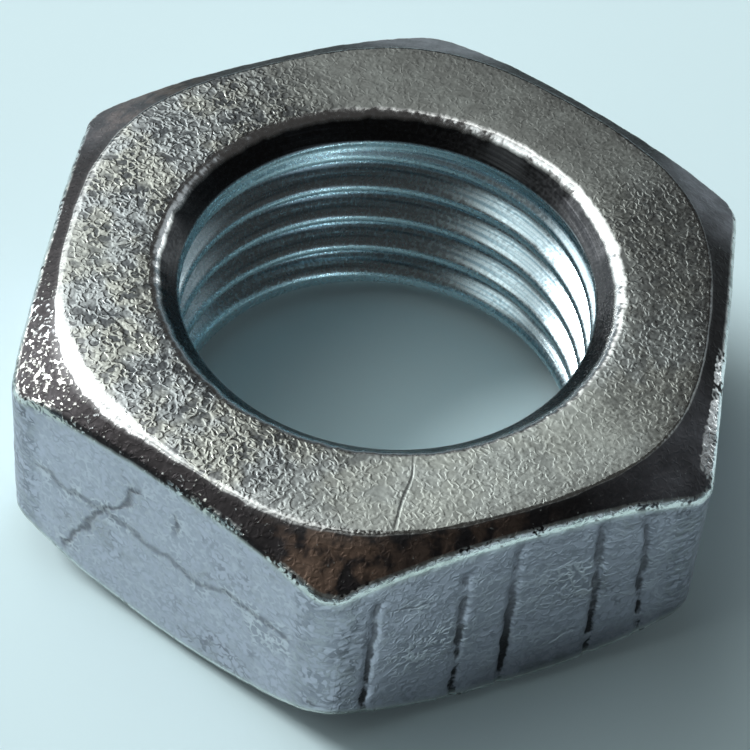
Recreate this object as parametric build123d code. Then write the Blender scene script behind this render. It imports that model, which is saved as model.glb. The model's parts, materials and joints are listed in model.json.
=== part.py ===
from build123d import *
import math
import os

# Plain hexagon nut for a solid bicycle axle, with a metric fine thread and both faces chamfered.
# Millimetres. The origin is the centre of the lower ring face and +Z runs up the bore.
# Two corners of the hexagon lie on the X axis, so one pair of flats faces +Y and -Y.

# The hexagonal bar that the nut is cut from.
across_flats = 15.0
height = 5.7
corner_radius = 0.8

# The flat ring turned on each face, and the cone that falls away outside it. The lower cone is steeper.
upper_ring_inset = 0.425
upper_chamfer_angle = 30.0
upper_ring_edge_radius = 0.5
lower_ring_inset = 0.22
lower_chamfer_angle = 42.0
lower_ring_edge_radius = 0.3
chamfer_edge_radius = 0.2

# The thread: 60 degree triangles with flats at root and crest, given as shares of the pitch.
# The tapping hole is drilled a little wide, as in any bought nut, which leaves the broad crests.
thread_diameter = 10.0
thread_pitch = 1.0
flank_angle = 30.0
root_flat_share = 0.125
crest_flat_share = 0.35

# The countersink at each mouth of the bore.
countersink_margin = 0.1
countersink_angle = 90.0
mouth_edge_radius = 0.1

# How far the cutting shapes reach past the faces and into the open bore.
overcut = 0.5
groove_overlap = 0.05
lead_in_turns = 1.5

# The thread is cut starting at +X, and the finished nut is turned on its axis, by whole sixths of a turn.
thread_start_angle = 180.0

# How near two radii must be to count as the same when an edge is picked by its size.
same_radius = 0.001

# Sizes that follow from those above.
upper_ring_radius = across_flats / 2 - upper_ring_inset
lower_ring_radius = across_flats / 2 - lower_ring_inset
flank_slope = math.tan(math.radians(flank_angle))
thread_depth = thread_pitch * (1 - root_flat_share - crest_flat_share) / (2 * flank_slope)
bore_radius = thread_diameter / 2 - thread_depth
countersink_radius = thread_diameter / 2 + countersink_margin
countersink_depth = (countersink_radius - bore_radius) / math.tan(math.radians(countersink_angle / 2))


# Drawn bar: a hexagon with its corners rounded, as long as the nut is high.
def hexagonal_bar():
    hexagon = RegularPolygon(across_flats / 2, 6, major_radius=False)
    return extrude(fillet(hexagon.vertices(), corner_radius), height)


# What a lathe leaves at most: a ring at each end and a cone outside it, with the edge between them eased.
def turned_envelope():
    reach = across_flats
    upper_fall = (reach - upper_ring_radius) * math.tan(math.radians(upper_chamfer_angle))
    lower_rise = (reach - lower_ring_radius) * math.tan(math.radians(lower_chamfer_angle))
    half_section = make_face(
        Polyline(
            (0, 0),
            (lower_ring_radius, 0),
            (reach, lower_rise),
            (reach, height - upper_fall),
            (upper_ring_radius, height),
            (0, height),
            close=True,
        )
    )
    upper_edge = half_section.vertices().sort_by_distance((upper_ring_radius, height))[0]
    half_section = fillet(upper_edge, upper_ring_edge_radius)
    lower_edge = half_section.vertices().sort_by_distance((lower_ring_radius, 0))[0]
    half_section = fillet(lower_edge, lower_ring_edge_radius)
    return revolve(Plane.XZ * half_section, Axis.Z)


# The bar inside the envelope. Each cone meets the flats in shallow arcs, and those edges are eased.
def chamfered_blank():
    blank = hexagonal_bar() & turned_envelope()
    arcs = blank.edges().filter_by(lambda edge: edge.geom_type in (GeomType.HYPERBOLA, GeomType.BSPLINE))
    return fillet(arcs, chamfer_edge_radius)


# The right-hand groove of the thread: a trapezoid carried up a helix, in and out past both faces.
def thread_groove():
    lead_in = lead_in_turns * thread_pitch
    helix = Helix(thread_pitch, height + 2 * lead_in, bore_radius, center=(0, 0, -lead_in))
    half_root = thread_pitch * root_flat_share / 2
    half_mouth = half_root + (thread_depth + groove_overlap) * flank_slope
    trapezoid = make_face(
        Polyline(
            (-groove_overlap, -half_mouth),
            (thread_depth, -half_root),
            (thread_depth, half_root),
            (-groove_overlap, half_mouth),
            close=True,
        )
    )
    start = Plane(origin=helix @ 0, x_dir=(1, 0, 0), z_dir=helix % 0)
    return sweep(start * trapezoid, path=helix, is_frenet=True)


# The two countersinks, as one spool that touches the bore's wall between them.
def countersinks():
    mouth_radius = countersink_radius + overcut * math.tan(math.radians(countersink_angle / 2))
    half_section = make_face(
        Polyline(
            (0, -overcut),
            (mouth_radius, -overcut),
            (bore_radius, countersink_depth),
            (bore_radius, height - countersink_depth),
            (mouth_radius, height + overcut),
            (0, height + overcut),
            close=True,
        )
    )
    return revolve(Plane.XZ * half_section, Axis.Z)


# The nut: blank, tapping hole, thread, countersinks, and last the two mouths eased by hand.
def axle_nut():
    tapping_hole = extrude(Circle(bore_radius), height)
    tapped = chamfered_blank() - tapping_hole - thread_groove()
    countersunk = tapped - countersinks()
    mouths = countersunk.edges().filter_by(
        lambda edge: edge.geom_type == GeomType.CIRCLE and abs(edge.radius - countersink_radius) < same_radius
    )
    return Rot(Z=thread_start_angle) * fillet(mouths, mouth_edge_radius)


nut = axle_nut()
os.makedirs("parts", exist_ok=True)
export_step(nut, "parts/axle_nut.step")
print("nut volume", round(nut.volume, 1), "mm3, bore radius", round(bore_radius, 3), "mm")
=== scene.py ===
import bpy
import json
import math
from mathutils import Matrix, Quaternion, Vector


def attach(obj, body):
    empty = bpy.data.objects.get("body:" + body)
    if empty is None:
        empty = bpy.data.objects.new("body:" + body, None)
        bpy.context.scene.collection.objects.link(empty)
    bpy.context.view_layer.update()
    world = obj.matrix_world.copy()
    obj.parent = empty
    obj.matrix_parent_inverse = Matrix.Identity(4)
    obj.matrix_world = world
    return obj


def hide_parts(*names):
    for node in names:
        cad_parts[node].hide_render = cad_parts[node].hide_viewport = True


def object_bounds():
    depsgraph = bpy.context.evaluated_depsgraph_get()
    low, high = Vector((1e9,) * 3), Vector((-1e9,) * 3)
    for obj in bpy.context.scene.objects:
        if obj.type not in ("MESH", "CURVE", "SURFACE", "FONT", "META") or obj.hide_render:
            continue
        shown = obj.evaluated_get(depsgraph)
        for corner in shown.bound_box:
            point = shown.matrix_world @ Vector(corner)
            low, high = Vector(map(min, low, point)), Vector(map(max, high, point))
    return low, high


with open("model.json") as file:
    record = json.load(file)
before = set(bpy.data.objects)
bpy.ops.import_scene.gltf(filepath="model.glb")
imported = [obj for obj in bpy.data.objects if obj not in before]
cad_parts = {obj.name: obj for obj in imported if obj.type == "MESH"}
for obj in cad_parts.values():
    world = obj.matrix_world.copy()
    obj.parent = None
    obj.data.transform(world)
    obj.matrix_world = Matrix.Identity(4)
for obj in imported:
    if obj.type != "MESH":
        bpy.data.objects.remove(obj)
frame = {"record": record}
cadLow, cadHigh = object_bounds()
mm = 0.001


class Field:
    # a socket that can be added, multiplied and so on, each step making one Math node
    def __init__(self, tree, socket):
        self.tree = tree
        self.socket = socket

    def calc(self, operation, *others, clamp=False):
        node = self.tree.nodes.new("ShaderNodeMath")
        node.operation = operation
        node.use_clamp = clamp
        for slot, value in zip(node.inputs, (self, *others)):
            plug(self.tree, value, slot)
        return Field(self.tree, node.outputs[0])

    def __add__(self, other):
        return self.calc("ADD", other)

    def __sub__(self, other):
        return self.calc("SUBTRACT", other)

    def __mul__(self, other):
        return self.calc("MULTIPLY", other)

    def __truediv__(self, other):
        return self.calc("DIVIDE", other)

    def towards(self, other, share):
        return self + (other - self) * share

    def atLeast(self, other):
        return self.calc("MAXIMUM", other)

    def atMost(self, other):
        return self.calc("MINIMUM", other)

    def held(self):
        # held between 0 and 1
        return self.calc("ADD", 0.0, clamp=True)

    def flipped(self):
        # what is left of 1
        return self * -1.0 + 1.0

    def rise(self, low, high):
        # 0 up to low, 1 from high, eased between; low above high makes it fall instead
        node = addNode(self.tree, "ShaderNodeMapRange", {"interpolation_type": "SMOOTHSTEP"},
                       Value=self, From_Min=low, From_Max=high)
        return Field(self.tree, node.outputs["Result"])


def plug(tree, value, slot):
    if isinstance(value, Field):
        tree.links.new(value.socket, slot)
    elif isinstance(value, bpy.types.NodeSocket):
        tree.links.new(value, slot)
    else:
        slot.default_value = value


def addNode(tree, kind, settings=None, **values):
    node = tree.nodes.new(kind)
    for name, value in (settings or {}).items():
        setattr(node, name, value)
    for name, value in values.items():
        plug(tree, value, node.inputs[name.replace("_", " ")])
    return node


def vectorMath(tree, operation, first, second):
    node = addNode(tree, "ShaderNodeVectorMath", {"operation": operation})
    plug(tree, first, node.inputs[0])
    plug(tree, second, node.inputs[1])
    return node.outputs["Value" if operation in ("DOT_PRODUCT", "DISTANCE") else "Vector"]


def noiseAt(tree, place, size, seed=0.0, detail=1.0, twist=0.0):
    # cloudy values about 0.5, with lumps of roughly this size; each seed gives another cloud
    shifted = vectorMath(tree, "ADD", place, (seed * size * 31.7, seed * size * 17.3, seed * size * 23.9))
    node = addNode(tree, "ShaderNodeTexNoise", Vector=shifted, Scale=1 / size, Detail=detail,
                   Roughness=0.55, Distortion=twist)
    return Field(tree, node.outputs["Fac"])


def makeTree(name, inputs):
    tree = bpy.data.node_groups.new(name, "GeometryNodeTree")
    tree.interface.new_socket("Geometry", in_out="OUTPUT", socket_type="NodeSocketGeometry")
    for label, value in inputs.items():
        if isinstance(value, bpy.types.Material):
            kind = "NodeSocketMaterial"
        else:
            kind = "NodeSocketInt" if isinstance(value, int) else "NodeSocketFloat"
        tree.interface.new_socket(label, in_out="INPUT", socket_type=kind)
    source = tree.nodes.new("NodeGroupInput")
    target = tree.nodes.new("NodeGroupOutput")
    fields = {label: Field(tree, source.outputs[label]) for label in inputs}
    return tree, fields, target


def bakeTree(name, tree, inputs):
    # runs the tree on an empty mesh and hands back what it made as a plain mesh object
    carrier = bpy.data.objects.new(name + "Carrier", bpy.data.meshes.new(name + "Carrier"))
    bpy.context.scene.collection.objects.link(carrier)
    modifier = carrier.modifiers.new(name, "NODES")
    modifier.node_group = tree
    for item in tree.interface.items_tree:
        if item.in_out == "INPUT" and item.name in inputs:
            modifier[item.identifier] = inputs[item.name]
    bpy.context.view_layer.update()
    depsgraph = bpy.context.evaluated_depsgraph_get()
    mesh = bpy.data.meshes.new_from_object(carrier.evaluated_get(depsgraph))
    mesh.name = name
    bpy.data.objects.remove(carrier)
    piece = bpy.data.objects.new(name, mesh)
    bpy.context.scene.collection.objects.link(piece)
    return piece


boreMount = next(m for m in frame["record"]["mounts"] if m["kind"] == "threaded_hole")

nutSizes = {
    "Across Flats": cadHigh.y - cadLow.y,
    "Height": cadHigh.z - cadLow.z,
    "Corner Radius": 0.8 * mm,
    "Upper Ring Radius": 7.14 * mm,
    "Lower Ring Radius": 7.28 * mm,
    "Ring Bulge": 0.12 * mm,          # the ring reaches further out towards the corners
    "Upper Slope": math.tan(math.radians(30)),
    "Lower Slope": math.tan(math.radians(42)),
    "Ring Edge": 0.05 * mm,           # where the rim is hardly worn,
    "Worn Ring Edge": 0.21 * mm,      # and where it is worn most
    "Chamfer Edge": 0.16 * mm,
    "Edge Wear": 0.06 * mm,           # how far the chamfer's outer edge strays up and down
    "Crest Radius": boreMount["dims"]["r_mm"] * mm,
    "Root Radius": 5.0 * mm,
    "Pitch": 1.0 * mm,
    "Thread Turn": 0.0,               # where the groove starts, in turns
    "Flank Slope": math.tan(math.radians(36)),
    "Root Flat": 0.18 * mm,
    "Thread Edge": 0.05 * mm,
    "Thread Start": 0.42 * mm,        # the groove grows from nothing here, in from each face,
    "Full Thread": 1.25 * mm,         # to its full depth here
    "Mouth Radius": 5.1 * mm,
    "Mouth Edge": 0.12 * mm,
    "Mouth Wear": 0.14 * mm,          # how far the mouth strays, and its edge grows and shrinks
    "Waviness": 0.03 * mm,            # how far the drawn bar strays from true
    "Pitting": 0.022 * mm,
    "Columns": 768,                   # round the outside; the bore has a third as many
    "Turn Rows": 20,                  # rows to each turn of thread
    "Mouth Rows": 4,
    "Mouth Step": 0.08 * mm,
}

slant = 0.707      # how far the mouth's 45 degree edge runs along each axis, for each mm of its width
hair = 0.001       # much less than a row, as a share of the way along the section

# rows from the middle of a flat to the bore, on each side
sectionRows = {"flat": 16, "edge": 5, "chamfer": 4, "rim": 6, "ring": 4, "mouth": 3}


def sectionMarks():
    # where each stretch of the section starts and ends, as shares of the way
    total = sum(sectionRows.values())
    marks, done = {}, 0
    for name, count in sectionRows.items():
        marks[name] = (done / total, (done + count) / total)
        done += count
    return marks


marks = sectionMarks()

# upright drag marks on the flats: the flat's azimuth, then for each mark its place across
# the flat, its lean, its width and depth in mm, and the lowest and highest it goes
dragMarks = {
    270: [(-3.26, 0.02, 0.24, 0.09, 0.2, 4.6), (-1.23, -0.01, 0.24, 0.10, 0.1, 4.5),
          (-0.07, 0.00, 0.26, 0.11, 0.1, 5.0), (1.93, -0.03, 0.28, 0.11, 0.1, 5.0),
          (3.04, -0.06, 0.24, 0.10, 0.4, 5.0)],
    90: [(-2.40, 0.02, 0.24, 0.08, 0.3, 4.2), (0.70, -0.03, 0.22, 0.09, 0.2, 4.9),
         (2.90, 0.01, 0.26, 0.08, 0.8, 5.0)],
    30: [(-1.60, 0.03, 0.22, 0.08, 0.2, 3.9), (1.10, 0.00, 0.26, 0.09, 0.5, 5.0)],
}


dragStray = [(0.7 * mm, 0.2 * mm, 3.0), (0.38 * mm, 0.12 * mm, 25.0)]     # bend length, how far, seed


def dragWear(tree, turn, height, place, apothem):
    # how far down each point is in a drag mark, 0 to 1, and the marks' depth
    stray = None
    for length, far, seed in dragStray:
        bend = (noiseAt(tree, place, length, seed) - 0.5) * far
        stray = bend if stray is None else stray + bend
    patchy = noiseAt(tree, place, 0.6 * mm, 8.0, detail=2.0).rise(0.2, 0.55)
    halfHeight = nutSizes["Height"] / (2 * mm)
    share, depth = None, None
    for azimuth, lines in dragMarks.items():
        across = (turn * math.tau - math.radians(azimuth)).calc("TANGENT") * apothem
        near = (turn * 360.0 - float(azimuth)).calc("ABSOLUTE").calc("LESS_THAN", 30.0)
        for middle, lean, width, deep, low, high in lines:
            offset = across + stray - height * lean - (middle - lean * halfHeight) * mm
            line = offset.calc("ABSOLUTE").rise(width * 0.62 * mm, width * 0.15 * mm) * near
            ends = height.rise((high + 0.5) * mm, high * mm) * height.rise(-0.6 * mm, low * mm)
            line = line * ends * patchy
            share = line if share is None else share.atLeast(line)
            depth = line * (deep * mm) if depth is None else depth + line * (deep * mm)
    return share, depth


# creases and nicks in the flats, up to three on each: for each flat's azimuth, lines of
# (across, height) in mm with their width and depth
creases = {
    210: [([(-2.85, 0.6), (-2.2, 2.0), (-1.6, 3.3), (-1.1, 3.8), (-0.7, 4.8)], 0.15, 1.0),
          ([(-3.6, 3.3), (-2.7, 3.0), (-1.6, 3.2), (0.0, 3.05), (0.9, 2.9), (1.8, 3.2), (3.4, 3.1)],
           0.15, 0.7),
          ([(0.30, 4.1), (0.40, 4.7)], 0.08, 0.9)],
    270: [([(-2.7, 4.3), (-2.1, 4.1)], 0.08, 0.6), ([(0.8, 1.2), (1.5, 1.5)], 0.08, 0.5)],
    330: [([(-3.2, 1.2), (-1.0, 2.0), (0.6, 1.9)], 0.12, 0.7), ([(2.3, 2.9), (1.8, 4.4)], 0.10, 0.8)],
    30: [([(-1.2, 1.3), (-0.3, 1.5), (0.6, 2.2)], 0.12, 0.5), ([(2.6, 3.9), (2.0, 4.5)], 0.08, 0.5)],
    90: [([(-1.9, 2.3), (-1.0, 2.6), (0.2, 3.5)], 0.12, 0.5), ([(1.9, 0.9), (1.6, 1.6)], 0.09, 0.5)],
    150: [([(-2.2, 0.9), (-1.7, 2.4), (-1.9, 3.6)], 0.13, 0.9), ([(0.8, 4.2), (2.6, 3.9)], 0.09, 0.6)],
}

# scuffed spots on the flats: azimuth, across, height and reach in mm
scuffs = [(270, -1.85, 2.5, 1.2), (270, 1.35, 3.3, 1.2), (210, 2.9, 2.6, 1.0),
          (90, 1.2, 2.8, 1.3), (330, 0.4, 3.6, 1.2)]


def creaseLines(tree, place):
    # for up to three creases on each flat, how far off each one a point lies, as a share of the
    # crease's width and signed so that it stays clean between the mesh's points, and its depth
    wander = addNode(tree, "ShaderNodeTexNoise", Vector=place, Scale=1 / (0.5 * mm), Detail=2.0)
    wander = vectorMath(tree, "SUBTRACT", wander.outputs["Color"], (0.5, 0.5, 0.5))
    moved = vectorMath(tree, "ADD", place, vectorMath(tree, "MULTIPLY", wander, (0.6 * mm,) * 3))
    height = Field(tree, addNode(tree, "ShaderNodeSeparateXYZ", Vector=moved).outputs["Z"]) / mm
    offsets, depths = [None] * 3, [None] * 3
    almostFlat = nutSizes["Across Flats"] / (2 * mm) - 0.3      # further out than this is on the flat
    for azimuth, lines in creases.items():
        a = math.radians(azimuth)
        sideways = (-math.sin(a) / mm, math.cos(a) / mm, 0)
        outwards = (math.cos(a) / mm, math.sin(a) / mm, 0)
        across = Field(tree, vectorMath(tree, "DOT_PRODUCT", moved, sideways))
        near = Field(tree, vectorMath(tree, "DOT_PRODUCT", place, outwards)).calc("GREATER_THAN", almostFlat)
        for i, (points, width, depth) in enumerate(lines):
            (u0, z0), (u1, z1) = points[0], points[-1]
            upright = abs(z1 - z0) > abs(u1 - u0)
            along, aside = (height, across) if upright else (across, height)
            points = [(z, u) if upright else (u, z) for u, z in points]
            line = None
            for (s0, t0), (s1, t1) in zip(points, points[1:]):
                share = ((along - s0) / (s1 - s0)).held() * (t1 - t0)
                line = share + t0 if line is None else line + share
            start, end = points[0][0], points[-1][0]
            span = along.rise(start - 0.3, start + 0.2) * along.rise(end + 0.3, end - 0.2)
            offset, level = (aside - line) / width * near, span * near * depth
            offsets[i] = offset if offsets[i] is None else offsets[i] + offset
            depths[i] = level if depths[i] is None else depths[i] + level
    return offsets, depths


def onFlatSpot(azimuth, across, height):
    a = math.radians(azimuth)
    half = nutSizes["Across Flats"] / (2 * mm)
    return (half * math.cos(a) - across * math.sin(a), half * math.sin(a) + across * math.cos(a), height)


def nearTo(tree, place, spot, far, near):
    # 1 within the nearer distance of a spot and 0 beyond the further one, all in mm
    distance = Field(tree, vectorMath(tree, "DISTANCE", place, tuple(c * mm for c in spot)))
    return distance.rise(far * mm, near * mm)


def scuffing(tree, place):
    scuffed = None
    for azimuth, across, height, far in scuffs:
        spot = nearTo(tree, place, onFlatSpot(azimuth, across, height), far, far * 0.3)
        scuffed = spot if scuffed is None else scuffed.atLeast(spot)
    return scuffed


# patches of wear and of painted light and shade: where in mm, the distances at which each fades out and is
# full, and how strong
wearSpots = {
    "coarse": [((-5.6, -1.2, 5.7), 7.0, 2.4, 1.0), ((-3.4, 5.0, 5.7), 5.0, 2.6, 1.0),
               ((5.6, -3.8, 5.7), 5.0, 1.2, 0.6), ((6.2, -0.8, 5.7), 2.8, 0.8, 0.6),
               ((-0.5, -6.4, 5.7), 4.5, 1.5, 0.3)],
    # painted shade on the back and right of the ring, where the grain is also a little coarser and nicked
    "paintedShadeAndNicks": [((3.6, 5.0, 5.7), 7.0, 3.4, 1.0), ((6.4, -1.2, 5.7), 3.6, 1.2, 0.9)],
    # painted sheen: the front of the ring lighter
    "paintedSheen": [((0.3, -6.4, 5.7), 4.2, 1.5, 1.0)],
    "rimmed": [((-7.1, -1.0, 5.7), 3.6, 0.8, 1.0), ((-4.4, -5.5, 5.7), 3.0, 0.8, 0.35),
               ((-5.6, 4.4, 5.7), 4.2, 1.5, 0.2)],
    # on the chamfers the dark film, whose near-black is a painted dark reflection, has come off, gone grey as
    # a lighter painted reflection, or brown, run on over the outer edge, or been knocked off that edge
    "worn": [((-8.4, 0.3, 5.0), 3.6, 0.8, 1.0), ((-6.5, -3.7, 5.2), 4.0, 1.5, 0.35)],
    "greyedReflection": [((4.3, 7.4, 5.2), 2.6, 0.8, 0.8), ((8.6, 0.2, 5.0), 2.4, 0.8, 0.9),
               ((-4.3, 7.4, 5.2), 2.2, 0.8, 0.25), ((4.2, -7.3, 5.2), 3.2, 0.8, 0.45),
               ((-8.4, 0.3, 5.0), 2.8, 0.8, 0.04)],
    "browned": [((-3.9, -6.9, 5.1), 2.1, 0.6, 1.0), ((-1.2, -7.3, 5.3), 2.4, 0.6, 0.6),
                ((-3.2, 7.0, 5.3), 2.0, 0.6, 0.5)],
    "overrun": [((-6.5, -3.7, 5.2), 4.2, 2.4, 1.0)],
    "polished": [((5.2, -5.6, 4.7), 2.8, 1.3, 1.0)],
}


def wornAt(tree, place, name):
    share = None
    for spot, far, near, strength in wearSpots[name]:
        one = nearTo(tree, place, spot, far, near) * strength
        share = one if share is None else share.atLeast(one)
    return share


# scratches in the upper ring: from, to, width in mm and depth
scratches = [((-6.20, 1.25), (-5.90, 0.00), 0.05, 0.4), ((-1.50, -5.10), (-2.55, -6.60), 0.055, 0.8),
             ((5.74, 2.33), (5.94, 2.43), 0.09, 0.9)]


def scratchLines(tree, place, onUpperRing):
    offsets, depths = [], []
    stray = (noiseAt(tree, place, 0.5 * mm, 21.0, detail=2.0) - 0.5) * (0.4 * mm)
    for (x0, y0), (x1, y1), width, depth in scratches:
        long = math.hypot(x1 - x0, y1 - y0)
        ahead, aside = ((x1 - x0) / long, (y1 - y0) / long, 0), ((y0 - y1) / long, (x1 - x0) / long, 0)
        moved = vectorMath(tree, "SUBTRACT", place, (x0 * mm, y0 * mm, 0))
        along = Field(tree, vectorMath(tree, "DOT_PRODUCT", moved, ahead))
        offset = Field(tree, vectorMath(tree, "DOT_PRODUCT", moved, aside)) + stray
        span = along.rise(-0.2 * mm, 0.1 * mm) * along.rise((long + 0.2) * mm, (long - 0.1) * mm)
        offsets.append(offset / (width * mm))
        depths.append(span * onUpperRing * depth)
    return offsets, depths


# how much of the full grain each stretch has; coarse patches, and the ring's patches of painted shade, get
# this much more
grainShares = {"ring": 0.10, "coarse": 0.60, "paintedShadeAndNicks": 0.12, "flat": 0.60, "edge": 0.60, "chamfer": 0.40,
               "rim": 0.10}


def finishNotes(tree, place, amount, reach):
    # which stretch of the section each point lies on, and how much grain the plating has there
    def between(start, end, fade):
        return amount.rise(start - fade, start) * amount.rise(end + fade, end)
    onFlat = amount.rise(marks["flat"][1] + 0.03, marks["flat"][1] - 0.02)
    onEdge = between(marks["edge"][0] + 0.04, marks["edge"][1] - 0.03, 0.04)
    onChamfer = between(marks["edge"][1], marks["chamfer"][1] + 0.01, 0.05)
    onRim = between(marks["rim"][0] + 0.05, marks["rim"][1] - 0.04, 0.06)
    onMouth = amount.rise(marks["mouth"][0], marks["mouth"][0] + 0.03)
    onRing = (onFlat + onEdge + onChamfer + onRim).flipped().atLeast(0.0)
    wear = {name: wornAt(tree, place, name) for name in wearSpots}
    knocked = wear["polished"] * between(marks["edge"][0] + 0.02, marks["chamfer"][0] + 0.02, 0.04)
    onCorner = reach.rise(8.22 * mm, 8.40 * mm) * onFlat
    share = grainShares
    grain = onRing * (wear["coarse"] * share["coarse"] + wear["paintedShadeAndNicks"] * share["paintedShadeAndNicks"] + share["ring"])
    grain = grain + onFlat * share["flat"] + onEdge * share["edge"]
    grain = grain + onChamfer * share["chamfer"] + onRim * share["rim"]
    return {"parts": (onFlat, onEdge, onChamfer), "innerParts": (onRim, onMouth, 0.0),
            "grainShare": (grain * (onMouth * -0.9 + 1.0), onCorner, 0.0),
            "grime": (wear["coarse"], wear["worn"], wear["browned"]),
            "ringWearAndPaintedLight": (wear["paintedShadeAndNicks"], wear["paintedSheen"], wear["rimmed"]),
            "filmAndReflectionWear": (wear["overrun"], wear["greyedReflection"], knocked)}


def mouthEdge(tree, turn, size):
    # the radius of the bore's mouth and the width of its edge, both a little ragged
    place = spotAt(tree, turn, size["Mouth Radius"], 0.0)
    ragged = noiseAt(tree, place, 0.35 * mm, 5.0, detail=2.0) - 0.5
    beaded = noiseAt(tree, place, 0.28 * mm, 9.0) - 0.5
    radius = size["Mouth Radius"] + ragged * size["Mouth Wear"]
    return radius, size["Mouth Edge"] + beaded * size["Mouth Wear"]


def plainGrid(tree, columns, rows):
    # a flat grid, and how far along and up it each point is, 0 to 1
    grid = addNode(tree, "GeometryNodeMeshGrid", Size_X=1.0, Size_Y=1.0,
                   Vertices_X=columns + 1, Vertices_Y=rows + 1)
    spot = addNode(tree, "GeometryNodeInputPosition").outputs[0]
    spot = addNode(tree, "ShaderNodeSeparateXYZ", Vector=spot)
    return grid, Field(tree, spot.outputs["X"]) + 0.5, Field(tree, spot.outputs["Y"]) + 0.5


def outerShell(tree, size):
    # rings, chamfers and flats, as one sheet that runs from mouth to mouth
    columns = size["Columns"]
    rows = 2 * sum(sectionRows.values())
    grid, across, upwards = plainGrid(tree, columns, rows)
    along = (upwards - 0.5) * 2.0
    # the two end rows keep every third column, to meet the bore
    column = (across * columns).calc("ROUND")
    thinned = (column / 3.0).calc("ROUND") * 3.0
    isEnd = along.calc("ABSOLUTE").calc("GREATER_THAN", 1.0 - hair)
    turn = column.towards(thinned, isEnd) / columns
    isLower = along.calc("LESS_THAN", 0.0)
    amount = along.calc("ABSOLUTE")

    # the bar
    sixth = math.pi / 3
    fromCorner = (turn * math.tau).calc("PINGPONG", sixth / 2)
    fromFlat = fromCorner * -1.0 + sixth / 2
    apothem = size["Across Flats"] / 2.0
    inset = apothem - size["Corner Radius"]
    flatTurn = (inset * math.tan(sixth / 2) / apothem).calc("ARCTANGENT")
    flatSide = apothem / fromFlat.calc("COSINE")
    toCentre = inset / math.cos(sixth / 2)
    offAxis = toCentre * fromCorner.calc("SINE")
    corner = toCentre * fromCorner.calc("COSINE") + (
        size["Corner Radius"] * size["Corner Radius"] - offAxis * offAxis).atLeast(0.0).calc("SQRT")
    side = flatSide.towards(corner, fromFlat.calc("GREATER_THAN", flatTurn))

    # wear, read off at the place that each point has on a true bar, where the rows of the flats
    # stop a little short of the faces
    reach = marks["flat"][1] * 2.2
    level = size["Height"] / 2.0 + along * (size["Height"] / reach)
    level = level.atLeast(0.0).atMost(size["Height"])
    truePlace = addNode(tree, "ShaderNodeCombineXYZ", X=(turn * math.tau).calc("COSINE") * side,
                        Y=(turn * math.tau).calc("SINE") * side, Z=level).outputs[0]
    wavy = noiseAt(tree, truePlace, 2.2 * mm, 1.0, detail=2.0).rise(0.3, 0.8) * size["Waviness"]
    dragged, dragDepth = dragWear(tree, turn, level, truePlace, apothem)
    side = side - wavy - dragDepth
    ragged = (noiseAt(tree, truePlace, 0.32 * mm, 12.0, detail=2.0) - 0.5) * size["Edge Wear"]
    side = side - noiseAt(tree, truePlace, 0.55 * mm, 13.0, detail=2.0).rise(0.35, 0.8) * size["Pitting"]

    # the section at this turn, as corner points (distance from the axis, height over the middle)
    slope = size["Upper Slope"].towards(size["Lower Slope"], isLower)
    ring = size["Upper Ring Radius"].towards(size["Lower Ring Radius"], isLower)
    ring = ring + size["Ring Bulge"] * (turn * (6 * math.tau)).calc("COSINE") - wavy
    top = size["Height"] / 2.0
    shoulder = top - (side - ring) * slope + ragged
    outwards = (slope * slope + 1.0).calc("POWER", -0.5)
    downwards = outwards * slope
    edge = size["Chamfer Edge"]
    cornerPlace = spotAt(tree, turn, ring, size["Height"])
    rim = size["Ring Edge"].towards(size["Worn Ring Edge"], wornAt(tree, cornerPlace, "rimmed"))
    rim = rim * (noiseAt(tree, cornerPlace, 0.5 * mm, 19.0, detail=2.0) * 1.6 + 0.2)
    mouth, lip = mouthEdge(tree, turn, size)
    points = [
        (side, top * 0.0),
        (side, shoulder - edge),
        (side, shoulder),
        (side - edge * outwards, shoulder + edge * downwards),
        (ring + rim * outwards, top - rim * downwards),
        (ring, top),
        (ring - rim, top),
        (mouth + lip, top),
        (mouth, top),
        (mouth - lip * slant, top - lip * slant),
    ]
    radius, height = points[0]
    at = 0
    for name, (start, end) in marks.items():
        share = ((amount - start) / (end - start)).held()
        if name in ("flat", "chamfer", "ring"):
            weights = [share]
        else:
            square = share * share
            weights = [share * 2.0 - square, square]
        for weight in weights:
            radius = radius + (points[at + 1][0] - points[at][0]) * weight
            height = height + (points[at + 1][1] - points[at][1]) * weight
            at += 1
    height = top + height * along.calc("SIGN")
    position = spotAt(tree, turn, radius, height)
    notes = finishNotes(tree, position, amount, radius)
    offsets, depths = creaseLines(tree, truePlace)
    onUpperRing = amount.calc("GREATER_THAN", marks["rim"][1] - hair) * isLower.flipped()
    scratchOffsets, scratchDepths = scratchLines(tree, position, onUpperRing)
    onSide = amount.calc("LESS_THAN", marks["edge"][1])
    notes["creaseOffset"] = [a.towards(b, onUpperRing) for a, b in zip(offsets, scratchOffsets)]
    notes["creaseDepth"] = [a * onSide + b for a, b in zip(depths, scratchDepths)]
    notes["damage"] = (dragged, scuffing(tree, truePlace), 0.0)
    return placed(tree, grid, position, notes)


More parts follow.
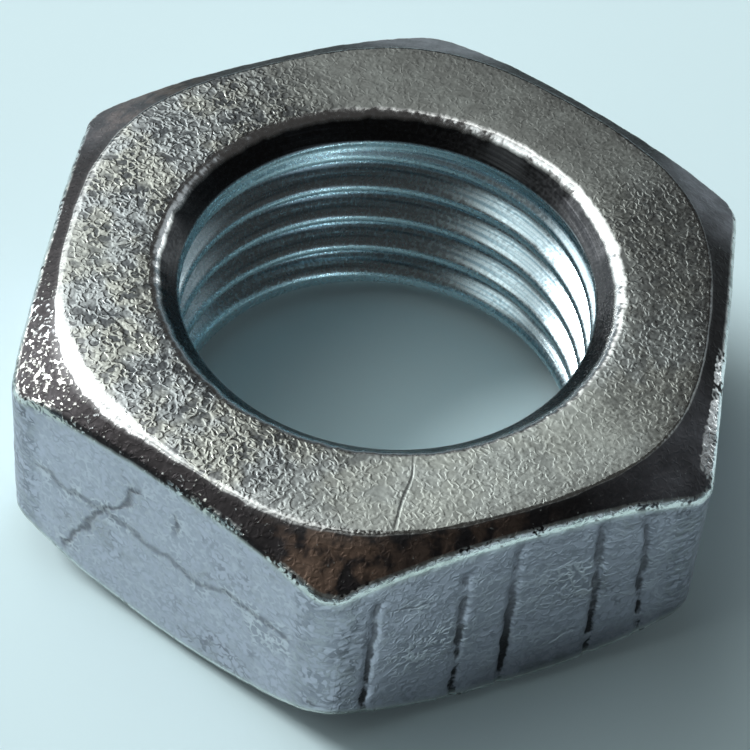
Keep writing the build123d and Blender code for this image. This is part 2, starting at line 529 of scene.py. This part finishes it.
def boreShell(tree, size):
    # countersinks and thread; past the mouths the rows climb with the thread, so its edges are clean
    pitch = size["Pitch"]
    perTurn = size["Turn Rows"]
    rows = (perTurn * (size["Height"] / pitch + 1.0)).calc("CEIL") + size["Mouth Rows"] * 2.0
    columns = size["Columns"] / 3.0
    grid, across, upwards = plainGrid(tree, columns, rows)
    turn = (across * columns).calc("ROUND") / columns
    row = (upwards * rows).calc("ROUND")
    mouth, lip = mouthEdge(tree, turn, size)
    lip = lip * slant
    step = size["Mouth Step"]
    level = lip + step * size["Mouth Rows"]
    height = pitch * ((row - size["Mouth Rows"]) / perTurn - 1.0 + turn)
    height = height.atLeast(level).atMost(size["Height"] - level)
    height = height.atMost(lip + step * row)
    height = height.atLeast(size["Height"] - lip - step * (rows - row))
    toEnd = height.atMost(size["Height"] - height)
    # the groove, by distance from its middle
    fromGroove = (height / pitch - turn - size["Thread Turn"]).calc("PINGPONG", 0.5) * pitch
    flank = (fromGroove - size["Root Flat"] / 2.0).calc("SMOOTH_MAX", 0.0, size["Thread Edge"] * 3.0)
    depth = (size["Root Radius"] - flank / size["Flank Slope"]).calc(
        "SMOOTH_MAX", size["Crest Radius"], size["Thread Edge"])
    thread = size["Crest Radius"].towards(depth, toEnd.rise(size["Thread Start"], size["Full Thread"]))
    mouth = size["Mouth Radius"].towards(mouth, toEnd.rise(lip + 0.3 * mm, lip))
    radius = thread.calc("SMOOTH_MAX", mouth - toEnd, size["Thread Edge"] * toEnd.rise(lip, lip + 0.3 * mm))
    inside = toEnd.calc("GREATER_THAN", lip * 1.01)
    notes = {"innerParts": (0.0, inside.flipped(), inside), "grainShare": (0.0, 0.0, inside)}
    sheet = placed(tree, grid, spotAt(tree, turn, radius, height), notes)
    # this sheet climbs with its face to the metal, so it is turned to face the axis
    return addNode(tree, "GeometryNodeFlipFaces", Mesh=sheet).outputs["Mesh"]


def spotAt(tree, turn, radius, height):
    angle = turn * math.tau
    return addNode(tree, "ShaderNodeCombineXYZ", X=radius * angle.calc("COSINE"),
                   Y=radius * angle.calc("SINE"), Z=height).outputs[0]


def placed(tree, grid, position, notes):
    # puts the sheet in place and leaves notes on it for the finish
    sheet = grid.outputs["Mesh"]
    kind = {"data_type": "FLOAT_VECTOR", "domain": "POINT"}
    for name, values in notes.items():
        marked = addNode(tree, "GeometryNodeStoreNamedAttribute", kind, Geometry=sheet, Name=name)
        parts = {axis: part for axis, part in zip("XYZ", values) if part is not None}
        plug(tree, addNode(tree, "ShaderNodeCombineXYZ", **parts).outputs[0],
             [s for s in marked.inputs if s.name == "Value" and s.enabled][0])
        sheet = marked.outputs["Geometry"]
    return addNode(tree, "GeometryNodeSetPosition", Geometry=sheet, Position=position).outputs["Geometry"]


def makeNut(finish):
    inputs = dict(nutSizes, Finish=finish)
    tree, size, target = makeTree("hexNutShape", inputs)
    shells = tree.nodes.new("GeometryNodeJoinGeometry")
    for shell in (outerShell(tree, size), boreShell(tree, size)):
        tree.links.new(shell, shells.inputs[0])
    closed = addNode(tree, "GeometryNodeMergeByDistance", Geometry=shells.outputs[0], Distance=0.001 * mm)
    smooth = addNode(tree, "GeometryNodeSetShadeSmooth", Geometry=closed.outputs[0])
    real = addNode(tree, "GeometryNodeRealizeInstances", Geometry=smooth.outputs[0])
    done = addNode(tree, "GeometryNodeSetMaterial", Geometry=real.outputs[0], Material=size["Finish"])
    tree.links.new(done.outputs[0], target.inputs[0])
    piece = bakeTree("axleNutBody", tree, inputs)
    print("nut:", len(piece.data.vertices), "vertices,", len(piece.data.polygons), "faces")
    return piece


zinc = {
    "colour": (0.54, 0.58, 0.56, 1),
    "coolColour": (0.55, 0.595, 0.625, 1),
    "warmColour": (0.65, 0.665, 0.60, 1),
    "flatColour": (0.50, 0.505, 0.580, 1),
    # the flats' darker tone, also used as their painted shade
    "flatShade": (0.29, 0.30, 0.345, 1),
    "ringColour": (0.60, 0.65, 0.61, 1),
    # painted shade on the back and right of the ring
    "paintedRingShade": (0.30, 0.315, 0.30, 1),
    # painted sheen on the front of the ring
    "paintedSheenColour": (0.86, 0.93, 0.87, 1),
    # the bore's cyan tint is a painted reflection
    "boreColour": (0.72, 0.86, 0.90, 1),
    # painted shade in the bore's thread, teal as a painted reflection
    "boreShade": (0.18, 0.31, 0.38, 1),
    # rubbed metal, also a painted highlight on the ridges of the flats' grain
    "rubbedAndPaintedHighlight": (0.92, 0.94, 0.94, 1),
    # dark film, painted near black as a painted dark reflection on the chamfers and countersinks and as
    # painted shade at a flat's foot; also the flats' dark marks
    "darkFilmAndReflection": (0.030, 0.028, 0.029, 1),
    # a brown tint for the dark film
    "brownTint": (0.15, 0.105, 0.08, 1),
    # a lighter painted reflection on the chamfers
    "greyPaintedReflection": (0.34, 0.34, 0.37, 1),
    "grimeColour": (0.10, 0.11, 0.12, 1),
    "grainSize": 0.20 * mm,
    "grainDepth": 0.010 * mm,
    "foldSize": 0.4 * mm,
    # how deep these are beside the grain
    "lumpDepth": 0.5,
    "scuffDepth": 0.9,
    "foldDepth": 4.5,
    "tapLineDepth": 0.35,
    "creaseDepth": 0.8,
    "flatCreaseDepth": 1.7,
    "patchSize": 1.6 * mm,
    "mottleSize": 0.6 * mm,
    "speckSize": 0.09 * mm,
    "tapLineSize": (3.0 * mm, 0.05),      # along the thread, and across it as a share of the pitch
    "coneHeights": (0.54 * mm, 0.48 * mm),     # below the face: where the countersink's painted dark reflection ends and is full
    "crestRadii": (4.72 * mm, 4.58 * mm),      # where the painted highlight on the thread's crests ends and is full
    # painted shade along the foot of the right front flat, as if it mirrored the floor's shadow: where it
    # sets in to the right, outwards and downwards
    "footShade": ((-2.4 * mm, 0.8 * mm), (-7.2 * mm, -7.4 * mm), (1.9 * mm, 0.5 * mm)),
    "roughness": 0.10,                    # of bare metal, to which the rest are added
    "lumpRoughness": 0.20,
    "ringRoughness": 0.20,
    "coarseRoughness": -0.16,
    "flatRoughness": 0.20,
    "grimeRoughness": 0.20,
    "rimRoughness": -0.05,
    "boreRoughness": 0.06,
    "filmRoughness": 0.34,
}


def mixColour(tree, share, first, second):
    node = addNode(tree, "ShaderNodeMix", {"data_type": "RGBA"})
    plug(tree, share, node.inputs["Factor"])
    colours = [s for s in node.inputs if s.type == "RGBA"]
    plug(tree, first, colours[0])
    plug(tree, second, colours[1])
    return [s for s in node.outputs if s.type == "RGBA"][0]


def strokes(tree, place, size, seed):
    # short broken ridges with sharp turns: the borders of cells, left out here and there
    stray = addNode(tree, "ShaderNodeTexNoise", Vector=place, Scale=1 / (size * 0.7), Detail=0.0)
    stray = vectorMath(tree, "MULTIPLY", stray.outputs["Color"], (size * 0.9,) * 3)
    cells = addNode(tree, "ShaderNodeTexVoronoi", {"feature": "DISTANCE_TO_EDGE"},
                    Vector=vectorMath(tree, "ADD", place, stray), Scale=1 / size)
    border = Field(tree, cells.outputs["Distance"]).rise(0.24, 0.04)
    return border * noiseAt(tree, place, size * 0.9, seed, detail=0.0).rise(0.30, 0.52)


def readNote(tree, name):
    note = addNode(tree, "ShaderNodeAttribute", {"attribute_name": name})
    parts = addNode(tree, "ShaderNodeSeparateXYZ", Vector=note.outputs["Vector"])
    return [Field(tree, parts.outputs[axis]) for axis in "XYZ"]


def zincPlate():
    material = bpy.data.materials.new("zincPlate")
    material.use_nodes = True
    tree = material.node_tree
    shader = tree.nodes["Principled BSDF"]
    shader.inputs["Metallic"].default_value = 1.0
    place = addNode(tree, "ShaderNodeTexCoord").outputs["Object"]
    axes = addNode(tree, "ShaderNodeSeparateXYZ", Vector=place)
    x, y, z = (Field(tree, axes.outputs[name]) for name in "XYZ")
    onFlat, onEdge, onChamfer = readNote(tree, "parts")
    onRim, onMouth, inBore = readNote(tree, "innerParts")
    grainShare, onCorner, tapShare = readNote(tree, "grainShare")
    coarse, worn, browned = readNote(tree, "grime")
    dragged, scuffed, _ = readNote(tree, "damage")
    overrun, greyedReflection, polished = readNote(tree, "filmAndReflectionWear")
    paintedShadeAndNicks, paintedSheen, rimmed = readNote(tree, "ringWearAndPaintedLight")

    # grain, folds round the corners, and creases
    ridges = strokes(tree, place, zinc["grainSize"], 1.0)
    lumps = noiseAt(tree, place, zinc["grainSize"] * 0.4, 4.0, detail=0.0)
    squeezed = vectorMath(tree, "MULTIPLY", place, (1.0, 1.0, 2.4))
    folds = noiseAt(tree, squeezed, zinc["foldSize"], 15.0)
    creased, torn = None, None
    for offset, depth in zip(readNote(tree, "creaseOffset"), readNote(tree, "creaseDepth")):
        off = offset.calc("ABSOLUTE")
        line, beside = off.rise(1.0, 0.1) * depth, off.rise(4.0, 0.8) * depth
        creased = line if creased is None else creased.atLeast(line)
        torn = beside if torn is None else torn.atLeast(beside)
    scuffed = scuffed.atLeast(torn * onFlat)
    # the tap's own fine lines, which run round with the thread
    turned = y.calc("ARCTAN2", x) / math.tau
    fromGroove = (z / nutSizes["Pitch"] - turned - nutSizes["Thread Turn"]).calc("PINGPONG", 0.5)
    long, fine = zinc["tapLineSize"]
    drawn = addNode(tree, "ShaderNodeCombineXYZ", X=x / long, Y=y / long, Z=fromGroove / fine)
    tapLines = noiseAt(tree, drawn.outputs[0], 1.0, 18.0)
    relief = (ridges + lumps * zinc["lumpDepth"]) * (grainShare + scuffed * zinc["scuffDepth"])
    relief = relief + folds * onCorner * zinc["foldDepth"] + tapLines * tapShare * zinc["tapLineDepth"]
    relief = relief + lumps * (onMouth * 0.4 + onRim * 0.5)
    relief = relief - creased * (onFlat * zinc["flatCreaseDepth"] + zinc["creaseDepth"])

    # the ring, with dirt in the gaps of its grain
    patches = noiseAt(tree, place, zinc["patchSize"], 6.0, detail=3.0)
    colour = mixColour(tree, patches.rise(0.35, 0.6) * 0.5, zinc["ringColour"], zinc["colour"])
    # painted sheen: the front of the ring lighter
    colour = mixColour(tree, paintedSheen, colour, zinc["paintedSheenColour"])
    mottle = noiseAt(tree, place, zinc["mottleSize"], 7.0, detail=3.0)
    tone = mottle.rise(0.44, 0.58)
    tinted = mixColour(tree, patches.rise(0.44, 0.56), zinc["coolColour"], zinc["warmColour"])
    colour = mixColour(tree, coarse * 0.7, colour, tinted)
    # painted shade: the back and right of the ring darker
    colour = mixColour(tree, paintedShadeAndNicks * (mottle * 1.2 + 0.3).atMost(1.0), colour, zinc["paintedRingShade"])
    low = ridges.rise(0.6, 0.0)
    gaps = low * coarse * (tone * 0.45 + 0.35) + coarse * tone * 0.12
    specks = noiseAt(tree, place, zinc["speckSize"], 23.0, detail=3.0, twist=0.6)
    nicks = paintedShadeAndNicks * specks.rise(0.62, 0.72)
    grimy = gaps.atLeast(creased * 0.8).atLeast(nicks * 0.6)
    colour = mixColour(tree, grimy, colour, zinc["grimeColour"])
    # the flats, where painted shade and painted highlight stand in for the relief of their grain and of the
    # folds round the corners
    shade = tone * 0.22 + low * (tone * 0.15 + scuffed * 0.35) + ridges * (tone * -0.5 + 0.5)
    # painted shade in the folds round the corners
    shade = shade + onCorner * (folds.rise(0.56, 0.40) * 0.5 + ridges)
    flats = mixColour(tree, shade.atMost(1.0), zinc["flatColour"], zinc["flatShade"])
    # painted highlight on the ridges of the grain
    flats = mixColour(tree, ridges * (scuffed * 0.2 + tone * 0.16), flats, zinc["rubbedAndPaintedHighlight"])
    dark = (dragged * 0.9 + mottle * 0.6 + lumps * 0.3 - 0.45).rise(0.30, 0.75)
    dark = (dark * (z.rise(3.8 * mm, 1.4 * mm) * 0.40 + 0.58)).atLeast(creased * 0.55)
    # painted shade: dark strokes of the grain in patches
    dark = dark.atLeast(ridges * patches.rise(0.52, 0.66) * 0.35)
    # painted shade at the foot of the right front flat
    fadeX, fadeY, fadeZ = zinc["footShade"]
    foot = x.rise(*fadeX) * y.rise(*fadeY) * z.rise(*fadeZ)
    dark = dark.atLeast(foot * (mottle * 0.8 + 0.25))
    flats = mixColour(tree, dark, flats, zinc["darkFilmAndReflection"])
    colour = mixColour(tree, onFlat, colour, flats)
    # the chamfers under their dark film, whose near-black is a painted dark reflection, worn through in
    # specks
    # the dark film browner in places
    browning = browned * mottle.rise(0.42, 0.58)
    filmAndDarkReflection = mixColour(tree, browning, zinc["darkFilmAndReflection"], zinc["brownTint"])
    # a lighter painted reflection in grey patches
    filmAndDarkReflection = mixColour(tree, greyedReflection * (mottle * 1.6).atMost(1.0), filmAndDarkReflection, zinc["greyPaintedReflection"])
    bare = (specks * 0.9 + lumps * 0.3 + ridges * 0.15 + worn * 0.20 - 0.94).rise(-0.06, 0.20)
    overEdge = onEdge * (mottle * 0.75 + lumps * 0.25 - overrun * 0.15).rise(0.43, 0.36)
    knocked = (polished * 0.6 + mottle + lumps * 0.4 - 0.7).rise(0.40, 0.62) * polished
    filmAndReflectionShare = (onChamfer + overEdge).atMost(1.0) * bare.flipped() * knocked.flipped()
    colour = mixColour(tree, filmAndReflectionShare, colour, filmAndDarkReflection)
    rubbed = onRim * (rimmed * 0.8 + 0.2) + onEdge * filmAndReflectionShare.flipped() * mottle.rise(0.58, 0.44) * 0.5
    rubbed = (rubbed + onMouth * 0.9 + knocked).atMost(1.0)
    colour = mixColour(tree, rubbed, colour, zinc["rubbedAndPaintedHighlight"])
    # the bore: painted shade over the thread, streaked along the tap's lines and left off the crests so that
    # they stand out as a painted highlight; its cyan and teal are a painted reflection
    crest = (x * x + y * y).calc("SQRT").rise(*zinc["crestRadii"])
    bore = mixColour(tree, (tapLines.rise(0.42, 0.70) * 0.6 + 0.30) * (crest * -0.8 + 1.0),
                     zinc["boreColour"], zinc["boreShade"])
    # painted dark reflection: the countersinks painted near black
    onCone = z.atMost(z * -1.0 + nutSizes["Height"]).rise(*zinc["coneHeights"])
    colour = mixColour(tree, inBore, colour, mixColour(tree, onCone * 0.97, bore, zinc["darkFilmAndReflection"]))
    plug(tree, colour, shader.inputs["Base Color"])

    plain = (onFlat + onEdge + onChamfer + onRim + onMouth + inBore).flipped().atLeast(0.0)
    rough = lumps * zinc["lumpRoughness"] + zinc["roughness"]
    rough = rough + plain * (coarse * zinc["coarseRoughness"] + zinc["ringRoughness"])
    rough = rough + onFlat * (dark * zinc["grimeRoughness"] + zinc["flatRoughness"])
    rough = rough + onRim * zinc["rimRoughness"] + inBore * zinc["boreRoughness"]
    rough = rough + filmAndReflectionShare * zinc["filmRoughness"]
    plug(tree, rough, shader.inputs["Roughness"])

    bump = addNode(tree, "ShaderNodeBump", Height=relief, Strength=1.0, Distance=zinc["grainDepth"])
    tree.links.new(bump.outputs["Normal"], shader.inputs["Normal"])
    print("finish: zinc plate,", len(tree.nodes), "nodes")
    return material


room = {
    "floorColour": (0.66, 0.84, 0.88, 1),
    "floorReach": 0.6,
    "floorRoughness": 0.9,
    "glow": 0.03,
}


def makeFloor():
    half = room["floorReach"]
    mesh = bpy.data.meshes.new("floor")
    corners = [(-half, -half, 0), (half, -half, 0), (half, half, 0), (-half, half, 0)]
    mesh.from_pydata(corners, [], [(0, 1, 2, 3)])
    floor = bpy.data.objects.new("floor", mesh)
    bpy.context.scene.collection.objects.link(floor)
    material = bpy.data.materials.new("floorPaper")
    material.use_nodes = True
    tree = material.node_tree
    shader = tree.nodes["Principled BSDF"]
    shader.inputs["Base Color"].default_value = room["floorColour"]
    shader.inputs["Roughness"].default_value = room["floorRoughness"]
    # the paper also shows a little of its own colour to the eye and in the metal
    path = addNode(tree, "ShaderNodeLightPath")
    seen = Field(tree, path.outputs["Is Camera Ray"]).atLeast(path.outputs["Is Glossy Ray"])
    shader.inputs["Emission Color"].default_value = room["floorColour"]
    plug(tree, seen * room["glow"], shader.inputs["Emission Strength"])
    mesh.materials.append(material)
    print("floor:", 2 * half, "m across")


lights = {
    "ceiling": (0.040, 0.038, 0.037),
    # soft patches of the surroundings: azimuth, elevation, inner and outer radius in degrees, colour
    "patches": [
        (100, 47, 13, 27, (1.42, 1.47, 1.45)),
        (165, 58, 6, 20, (0.95, 1.00, 1.00)),
        (184, 46, 5, 12, (0.95, 1.02, 1.02)),
        (105, 74, 4, 13, (1.00, 1.02, 1.00)),
        (-74, 20, 6, 18, (0.34, 0.40, 0.46)),
        (132, 15, 18, 32, (1.10, 1.16, 1.18)),
        (12, 34, 8, 20, (0.30, 0.33, 0.35)),
        (14, 11, 5, 11, (1.60, 1.65, 1.65)),
    ],
    "horizon": (0.12, 0.17, 0.20),
    "horizonHeights": (28, 4),      # the elevations at which the horizon's glow ends and is full
    "keyAzimuth": 130,
    "keyElevation": 36,
    "keyDistance": 0.5,
    "keyRadius": 0.09,
    "keyPower": 2.35,
}


def aimedAt(azimuth, elevation):
    a, e = math.radians(azimuth), math.radians(elevation)
    return Vector((math.cos(a) * math.cos(e), math.sin(a) * math.cos(e), math.sin(e)))


def lightStudio():
    lamp = bpy.data.lights.new("keyLight", "AREA")
    lamp.shape = "DISK"
    lamp.size = 2 * lights["keyRadius"]
    lamp.energy = lights["keyPower"]
    holder = bpy.data.objects.new("keyLight", lamp)
    bpy.context.scene.collection.objects.link(holder)
    away = aimedAt(lights["keyAzimuth"], lights["keyElevation"])
    holder.location = away * lights["keyDistance"]
    holder.rotation_euler = away.to_track_quat("Z", "Y").to_euler()

    world = bpy.data.worlds.new("studio")
    bpy.context.scene.world = world
    world.use_nodes = True
    tree = world.node_tree
    direction = addNode(tree, "ShaderNodeTexCoord").outputs["Generated"]
    colour = lights["ceiling"]
    glows = [(aimedAt(azimuth, elevation), math.cos(math.radians(outer)), math.cos(math.radians(inner)), tint)
             for azimuth, elevation, inner, outer, tint in lights["patches"]]
    low, high = (-math.sin(math.radians(elevation)) for elevation in lights["horizonHeights"])
    glows.append((Vector((0, 0, -1)), low, high, lights["horizon"]))
    for pole, low, high, tint in glows:
        facing = addNode(tree, "ShaderNodeVectorMath", {"operation": "DOT_PRODUCT"})
        plug(tree, direction, facing.inputs[0])
        facing.inputs[1].default_value = pole
        amount = Field(tree, facing.outputs["Value"]).rise(low, high)
        glow = addNode(tree, "ShaderNodeVectorMath", {"operation": "SCALE"}, Scale=amount)
        glow.inputs[0].default_value = tint
        total = addNode(tree, "ShaderNodeVectorMath", {"operation": "ADD"})
        plug(tree, colour, total.inputs[0])
        plug(tree, glow.outputs[0], total.inputs[1])
        colour = total.outputs[0]
    plug(tree, colour, tree.nodes["Background"].inputs["Color"])
    print("lights: one key lamp and", len(glows), "soft patches")


view = {
    "azimuth": -116.202,
    "elevation": 48.492,
    "distance": 67.159 * mm,
    "aim": (-0.286 * mm, -0.39 * mm, 2.85 * mm),
    "roll": 5.696,
    "lens": 144.31,
}


def makeCamera():
    data = bpy.data.cameras.new("camera")
    data.lens = view["lens"]
    data.sensor_width = 36
    data.clip_start = 1 * mm
    data.clip_end = 5
    camera = bpy.data.objects.new("camera", data)
    bpy.context.scene.collection.objects.link(camera)
    away = aimedAt(view["azimuth"], view["elevation"])
    camera.location = Vector(view["aim"]) + away * view["distance"]
    camera.rotation_mode = "QUATERNION"
    roll = Quaternion((0, 0, 1), math.radians(view["roll"]))
    camera.rotation_quaternion = away.to_track_quat("Z", "Y") @ roll
    bpy.context.scene.camera = camera
    print("camera:", round(view["distance"] / mm, 1), "mm from the nut")


body = makeNut(zincPlate())
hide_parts("axle_nut")
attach(body, "root")
makeFloor()
lightStudio()
makeCamera()
bpy.context.scene.view_settings.view_transform = "Standard"
